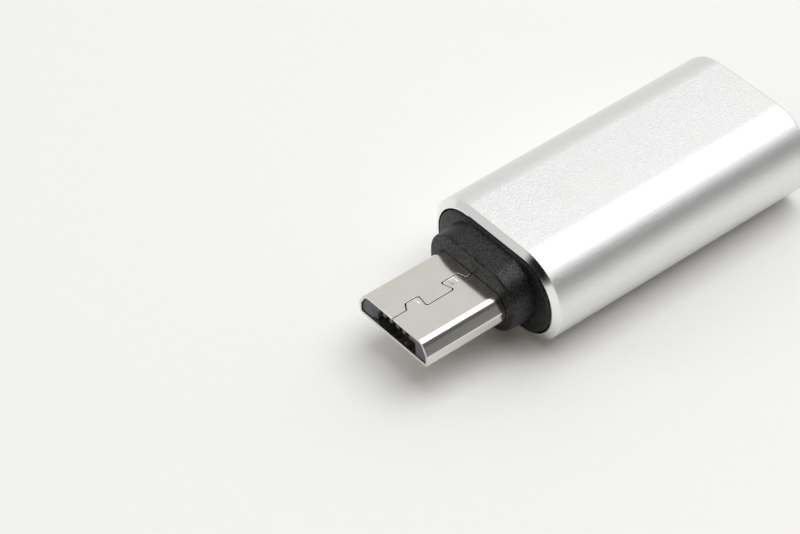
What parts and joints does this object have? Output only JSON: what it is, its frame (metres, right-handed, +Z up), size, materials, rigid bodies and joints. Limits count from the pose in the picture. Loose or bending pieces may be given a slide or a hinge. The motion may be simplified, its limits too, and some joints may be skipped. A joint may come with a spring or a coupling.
{
  "type": "micro usb to usb-c adapter",
  "caption": "Pocket adapter: a flat metal micro plug on a black boss in front, an oval port behind, in a silver sleeve with rounded sides.",
  "frame": {"origin": "middle of the footprint, on the surface that the sleeve rests on", "axes": "+Z up, +Y along the sleeve towards the oval port, so the micro plug points to -Y with its wide, latched side down; +X across"},
  "size_m": [0.0124, 0.031, 0.0071],
  "materials": {
    "anodised_aluminium": "bead blasted and clear anodised, bevel at the mouth cut bright",
    "black_moulding": "fine spark eroded grain",
    "nickel_plated_steel": "satin nickel plating on folded sheet",
    "spring_steel": "bright spring strip",
    "gold_plated_bronze": "thin gold plating",
    "insulator_plastic": "moulded, satin",
    "stainless_steel": "drawn and polished",
    "board_laminate": "green solder mask",
    "chip_ceramic": "black glazed top",
    "carrier_plastic": "moulded, natural colour"
  },
  "bodies": {
    "housing": {"carrier_bottom": "carrier_plastic", "carrier_top": "carrier_plastic", "chip_resistor_1": "chip_ceramic", "chip_resistor_2": "chip_ceramic", "circuit_board": "board_laminate", "front_collar": "black_moulding", "plug_insulator": "insulator_plastic", "plug_shell": "nickel_plated_steel", "port_contact_lower_1": "gold_plated_bronze", "port_contact_lower_12": "gold_plated_bronze", "port_contact_lower_4": "gold_plated_bronze", "port_contact_lower_5": "gold_plated_bronze", "port_contact_lower_6": "gold_plated_bronze", "port_contact_lower_7": "gold_plated_bronze", "port_contact_lower_8": "gold_plated_bronze", "port_contact_lower_9": "gold_plated_bronze", "port_contact_upper_1": "gold_plated_bronze", "port_contact_upper_12": "gold_plated_bronze", "port_contact_upper_4": "gold_plated_bronze", "port_contact_upper_5": "gold_plated_bronze", "port_contact_upper_6": "gold_plated_bronze", "port_contact_upper_7": "gold_plated_bronze", "port_contact_upper_8": "gold_plated_bronze", "port_contact_upper_9": "gold_plated_bronze", "port_mid_plate": "stainless_steel", "port_shell": "stainless_steel", "port_tongue": "insulator_plastic", "rear_bezel": "black_moulding", "sleeve": "anodised_aluminium"},
    "latch_left_spring": {"latch_left": "spring_steel"},
    "latch_right_spring": {"latch_right": "spring_steel"},
    "plug_contact_1_spring": {"plug_contact_1": "gold_plated_bronze"},
    "plug_contact_2_spring": {"plug_contact_2": "gold_plated_bronze"},
    "plug_contact_3_spring": {"plug_contact_3": "gold_plated_bronze"},
    "plug_contact_4_spring": {"plug_contact_4": "gold_plated_bronze"},
    "plug_contact_5_spring": {"plug_contact_5": "gold_plated_bronze"}
  },
  "joints": [
    {"name": "latch_left_press", "type": "hinge", "parent": "housing", "child": "latch_left_spring", "pos_m": [-0.00237, -0.00712, 0.00305], "axis": [-1, 0, 0], "range_deg": [0, 3.5], "stiffness_Nm_per_rad": 0.1},
    {"name": "latch_right_press", "type": "hinge", "parent": "housing", "child": "latch_right_spring", "pos_m": [0.00237, -0.00712, 0.00305], "axis": [-1, 0, 0], "range_deg": [0, 3.5], "stiffness_Nm_per_rad": 0.1},
    {"name": "plug_contact_1_flex", "type": "hinge", "parent": "housing", "child": "plug_contact_1_spring", "pos_m": [-0.0013, -0.00482, 0.00407], "axis": [-1, 0, 0], "range_deg": [0, 1.3], "stiffness_Nm_per_rad": 0.1},
    {"name": "plug_contact_2_flex", "type": "hinge", "parent": "housing", "child": "plug_contact_2_spring", "pos_m": [-0.00065, -0.00482, 0.00407], "axis": [-1, 0, 0], "range_deg": [0, 1.3], "stiffness_Nm_per_rad": 0.1},
    {"name": "plug_contact_3_flex", "type": "hinge", "parent": "housing", "child": "plug_contact_3_spring", "pos_m": [0, -0.00482, 0.00407], "axis": [-1, 0, 0], "range_deg": [0, 1.3], "stiffness_Nm_per_rad": 0.1},
    {"name": "plug_contact_4_flex", "type": "hinge", "parent": "housing", "child": "plug_contact_4_spring", "pos_m": [0.00065, -0.00482, 0.00407], "axis": [-1, 0, 0], "range_deg": [0, 1.3], "stiffness_Nm_per_rad": 0.1},
    {"name": "plug_contact_5_flex", "type": "hinge", "parent": "housing", "child": "plug_contact_5_spring", "pos_m": [0.0013, -0.00482, 0.00407], "axis": [-1, 0, 0], "range_deg": [0, 1.3], "stiffness_Nm_per_rad": 0.1}
  ]
}
